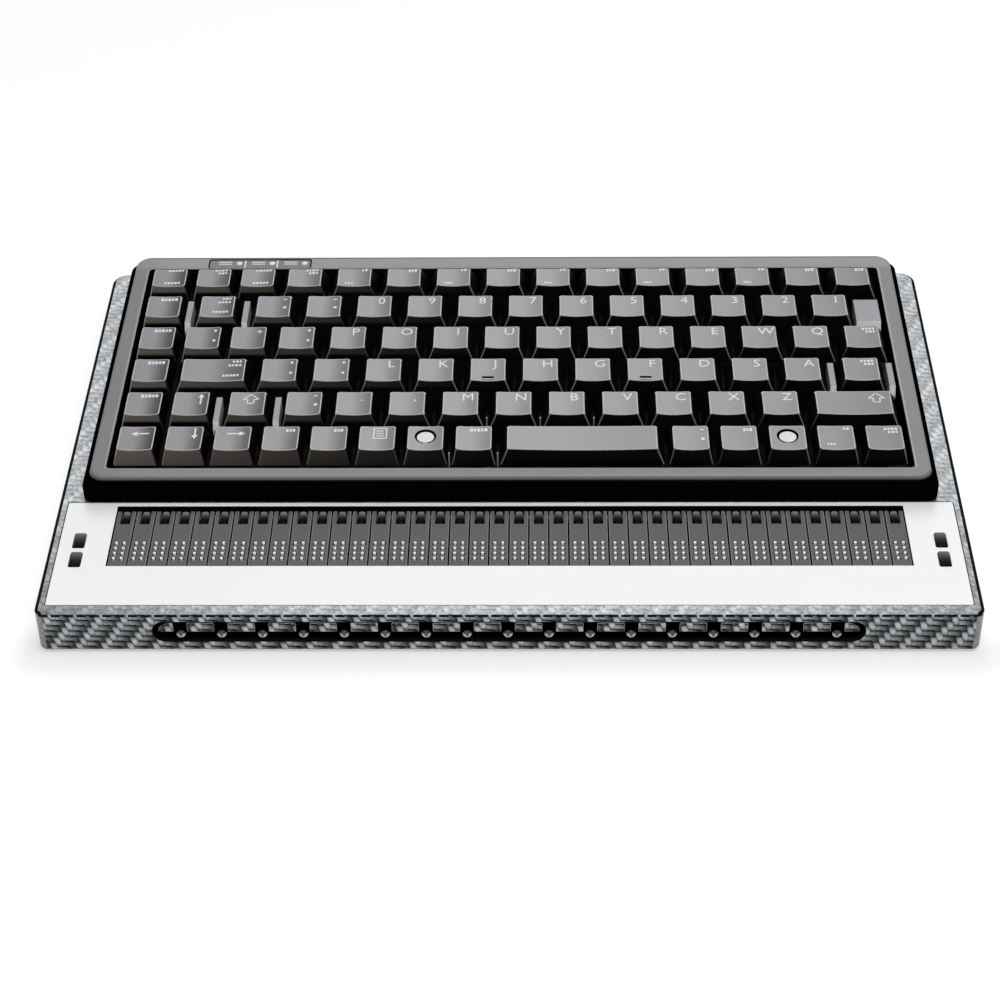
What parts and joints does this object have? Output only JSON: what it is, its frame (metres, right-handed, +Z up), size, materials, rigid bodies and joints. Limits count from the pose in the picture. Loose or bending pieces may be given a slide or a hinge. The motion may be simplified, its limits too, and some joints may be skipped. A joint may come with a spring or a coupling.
{
  "type": "braille notetaker",
  "caption": "Flat braille notetaker: a keyboard on a carbon-look base, a braille line with routing buttons in front, and a navigation bar in the front face.",
  "frame": {"origin": "on the surface that it rests on, under the middle of its outline", "axes": "+X along the braille line to the right as in the picture, +Y from the navigation bar to the rear wall, +Z up"},
  "size_m": [0.296, 0.188, 0.0283],
  "materials": {
    "carbon_weave": "carbon-look weave under a satin clear coat",
    "black_plastic": "satin moulded plastic",
    "silver_plate": "fine satin",
    "frame_grey": "satin moulded plastic",
    "key_grey": "matte moulded plastic",
    "well_black": "matte moulded plastic, its ribs painted grey",
    "cell_grey": "smooth moulded plastic",
    "pin_white": "smooth moulded plastic",
    "button_black": "glossy moulded plastic",
    "board_green": "solder mask",
    "rubber": "matte",
    "window_smoke": "polished",
    "battery_blue": "shrink wrap",
    "steel": "stamped steel"
  },
  "bodies": {
    "root": {"base_housing": "carbon_weave", "bottom_cover": "black_plastic", "front_plate": "silver_plate", "braille_cells": "cell_grey", "cell_backplane": "board_green", "main_board": "board_green", "battery_pack": "battery_blue", "keyboard_tray": "black_plastic", "keyboard_frame": "frame_grey", "status_window": "window_smoke", "status_board": "board_green", "key_membrane": "board_green", "key_plate": "well_black", "usb_socket": "steel", "foot_front_left": "rubber", "foot_rear_left": "rubber", "foot_front_right": "rubber", "foot_rear_right": "rubber"},
    "key_arrow_left": {"key_arrow_left": "key_grey"},
    "key_arrow_down": {"key_arrow_down": "key_grey"},
    "key_arrow_right": {"key_arrow_right": "key_grey"},
    "key_insert": {"key_insert": "key_grey"},
    "key_delete": {"key_delete": "key_grey"},
    "key_menu": {"key_menu": "key_grey"},
    "key_system_left": {"key_system_left": "key_grey"},
    "key_alt_gr": {"key_alt_gr": "key_grey"},
    "space_bar": {"space_bar": "key_grey"},
    "key_accent": {"key_accent": "key_grey"},
    "key_alt": {"key_alt": "key_grey"},
    "key_system_right": {"key_system_right": "key_grey"},
    "key_fn": {"key_fn": "key_grey"},
    "key_ctrl": {"key_ctrl": "key_grey"},
    "key_end": {"key_end": "key_grey"},
    "key_arrow_up": {"key_arrow_up": "key_grey"},
    "key_shift_small": {"key_shift_small": "key_grey"},
    "key_slash": {"key_slash": "key_grey"},
    "key_period": {"key_period": "key_grey"},
    "key_comma": {"key_comma": "key_grey"},
    "key_m": {"key_m": "key_grey"},
    "key_n": {"key_n": "key_grey"},
    "key_b": {"key_b": "key_grey"},
    "key_v": {"key_v": "key_grey"},
    "key_c": {"key_c": "key_grey"},
    "key_x": {"key_x": "key_grey"},
    "key_z": {"key_z": "key_grey"},
    "key_shift_wide": {"key_shift_wide": "key_grey"},
    "home_row_keys": {"home_row_keys": "key_grey"},
    "upper_letter_row_keys": {"upper_letter_row_keys": "key_grey"},
    "number_row_keys": {"number_row_keys": "key_grey"},
    "function_row_keys": {"function_row_keys": "key_grey"},
    "button_left_front": {"button_left_front": "button_black"},
    "button_left_rear": {"button_left_rear": "button_black"},
    "button_right_front": {"button_right_front": "button_black"},
    "button_right_rear": {"button_right_rear": "button_black"},
    "routing_buttons": {"routing_buttons": "button_black"},
    "braille_pins": {"braille_pins": "pin_white"},
    "bar_carriage": {"bar_carriage": "black_plastic"},
    "navigation_bar": {"navigation_bar": "carbon_weave"},
    "power_switch": {"power_switch": "black_plastic"}
  },
  "joints": [
    {"name": "key_arrow_left_press", "type": "slide", "parent": "root", "child": "key_arrow_left", "axis": [0, 0, -1], "range_m": [0, 0.003], "stiffness_N_per_m": 200},
    {"name": "key_arrow_down_press", "type": "slide", "parent": "root", "child": "key_arrow_down", "axis": [0, 0, -1], "range_m": [0, 0.003], "stiffness_N_per_m": 200},
    {"name": "key_arrow_right_press", "type": "slide", "parent": "root", "child": "key_arrow_right", "axis": [0, 0, -1], "range_m": [0, 0.003], "stiffness_N_per_m": 200},
    {"name": "key_insert_press", "type": "slide", "parent": "root", "child": "key_insert", "axis": [0, 0, -1], "range_m": [0, 0.003], "stiffness_N_per_m": 200},
    {"name": "key_delete_press", "type": "slide", "parent": "root", "child": "key_delete", "axis": [0, 0, -1], "range_m": [0, 0.003], "stiffness_N_per_m": 200},
    {"name": "key_menu_press", "type": "slide", "parent": "root", "child": "key_menu", "axis": [0, 0, -1], "range_m": [0, 0.003], "stiffness_N_per_m": 200},
    {"name": "key_system_left_press", "type": "slide", "parent": "root", "child": "key_system_left", "axis": [0, 0, -1], "range_m": [0, 0.003], "stiffness_N_per_m": 200},
    {"name": "key_alt_gr_press", "type": "slide", "parent": "root", "child": "key_alt_gr", "axis": [0, 0, -1], "range_m": [0, 0.003], "stiffness_N_per_m": 200},
    {"name": "space_bar_press", "type": "slide", "parent": "root", "child": "space_bar", "axis": [0, 0, -1], "range_m": [0, 0.003], "stiffness_N_per_m": 200},
    {"name": "key_accent_press", "type": "slide", "parent": "root", "child": "key_accent", "axis": [0, 0, -1], "range_m": [0, 0.003], "stiffness_N_per_m": 200},
    {"name": "key_alt_press", "type": "slide", "parent": "root", "child": "key_alt", "axis": [0, 0, -1], "range_m": [0, 0.003], "stiffness_N_per_m": 200},
    {"name": "key_system_right_press", "type": "slide", "parent": "root", "child": "key_system_right", "axis": [0, 0, -1], "range_m": [0, 0.003], "stiffness_N_per_m": 200},
    {"name": "key_fn_press", "type": "slide", "parent": "root", "child": "key_fn", "axis": [0, 0, -1], "range_m": [0, 0.003], "stiffness_N_per_m": 200},
    {"name": "key_ctrl_press", "type": "slide", "parent": "root", "child": "key_ctrl", "axis": [0, 0, -1], "range_m": [0, 0.003], "stiffness_N_per_m": 200},
    {"name": "key_end_press", "type": "slide", "parent": "root", "child": "key_end", "axis": [0, 0, -1], "range_m": [0, 0.003], "stiffness_N_per_m": 200},
    {"name": "key_arrow_up_press", "type": "slide", "parent": "root", "child": "key_arrow_up", "axis": [0, 0, -1], "range_m": [0, 0.003], "stiffness_N_per_m": 200},
    {"name": "key_shift_small_press", "type": "slide", "parent": "root", "child": "key_shift_small", "axis": [0, 0, -1], "range_m": [0, 0.003], "stiffness_N_per_m": 200},
    {"name": "key_slash_press", "type": "slide", "parent": "root", "child": "key_slash", "axis": [0, 0, -1], "range_m": [0, 0.003], "stiffness_N_per_m": 200},
    {"name": "key_period_press", "type": "slide", "parent": "root", "child": "key_period", "axis": [0, 0, -1], "range_m": [0, 0.003], "stiffness_N_per_m": 200},
    {"name": "key_comma_press", "type": "slide", "parent": "root", "child": "key_comma", "axis": [0, 0, -1], "range_m": [0, 0.003], "stiffness_N_per_m": 200},
    {"name": "key_m_press", "type": "slide", "parent": "root", "child": "key_m", "axis": [0, 0, -1], "range_m": [0, 0.003], "stiffness_N_per_m": 200},
    {"name": "key_n_press", "type": "slide", "parent": "root", "child": "key_n", "axis": [0, 0, -1], "range_m": [0, 0.003], "stiffness_N_per_m": 200},
    {"name": "key_b_press", "type": "slide", "parent": "root", "child": "key_b", "axis": [0, 0, -1], "range_m": [0, 0.003], "stiffness_N_per_m": 200},
    {"name": "key_v_press", "type": "slide", "parent": "root", "child": "key_v", "axis": [0, 0, -1], "range_m": [0, 0.003], "stiffness_N_per_m": 200},
    {"name": "key_c_press", "type": "slide", "parent": "root", "child": "key_c", "axis": [0, 0, -1], "range_m": [0, 0.003], "stiffness_N_per_m": 200},
    {"name": "key_x_press", "type": "slide", "parent": "root", "child": "key_x", "axis": [0, 0, -1], "range_m": [0, 0.003], "stiffness_N_per_m": 200},
    {"name": "key_z_press", "type": "slide", "parent": "root", "child": "key_z", "axis": [0, 0, -1], "range_m": [0, 0.003], "stiffness_N_per_m": 200},
    {"name": "key_shift_wide_press", "type": "slide", "parent": "root", "child": "key_shift_wide", "axis": [0, 0, -1], "range_m": [0, 0.003], "stiffness_N_per_m": 200},
    {"name": "home_row_keys_press", "type": "slide", "parent": "root", "child": "home_row_keys", "axis": [0, 0, -1], "range_m": [0, 0.003], "stiffness_N_per_m": 2800},
    {"name": "upper_letter_row_keys_press", "type": "slide", "parent": "root", "child": "upper_letter_row_keys", "axis": [0, 0, -1], "range_m": [0, 0.003], "stiffness_N_per_m": 2800},
    {"name": "number_row_keys_press", "type": "slide", "parent": "root", "child": "number_row_keys", "axis": [0, 0, -1], "range_m": [0, 0.003], "stiffness_N_per_m": 2800},
    {"name": "function_row_keys_press", "type": "slide", "parent": "root", "child": "function_row_keys", "axis": [0, 0, -1], "range_m": [0, 0.003], "stiffness_N_per_m": 2800},
    {"name": "button_left_front_press", "type": "slide", "parent": "root", "child": "button_left_front", "axis": [0, 0, -1], "range_m": [0, 0.0006], "stiffness_N_per_m": 500},
    {"name": "button_left_rear_press", "type": "slide", "parent": "root", "child": "button_left_rear", "axis": [0, 0, -1], "range_m": [0, 0.0006], "stiffness_N_per_m": 500},
    {"name": "button_right_front_press", "type": "slide", "parent": "root", "child": "button_right_front", "axis": [0, 0, -1], "range_m": [0, 0.0006], "stiffness_N_per_m": 500},
    {"name": "button_right_rear_press", "type": "slide", "parent": "root", "child": "button_right_rear", "axis": [0, 0, -1], "range_m": [0, 0.0006], "stiffness_N_per_m": 500},
    {"name": "routing_buttons_press", "type": "slide", "parent": "root", "child": "routing_buttons", "axis": [0, 0, -1], "range_m": [0, 0.0005], "stiffness_N_per_m": 4000},
    {"name": "braille_pins_drop", "type": "slide", "parent": "root", "child": "braille_pins", "axis": [0, 0, -1], "range_m": [0, 0.0007], "stiffness_N_per_m": 4000},
    {"name": "navigation_bar_sideways", "type": "slide", "parent": "root", "child": "bar_carriage", "axis": [1, 0, 0], "range_m": [-0.0015, 0.0015], "stiffness_N_per_m": 400},
    {"name": "navigation_bar_lift", "type": "slide", "parent": "bar_carriage", "child": "navigation_bar", "axis": [0, 0, 1], "range_m": [-0.0008, 0.0008], "stiffness_N_per_m": 800},
    {"name": "power_switch_slide", "type": "slide", "parent": "root", "child": "power_switch", "axis": [1, 0, 0], "range_m": [0, 0.003]}
  ]
}
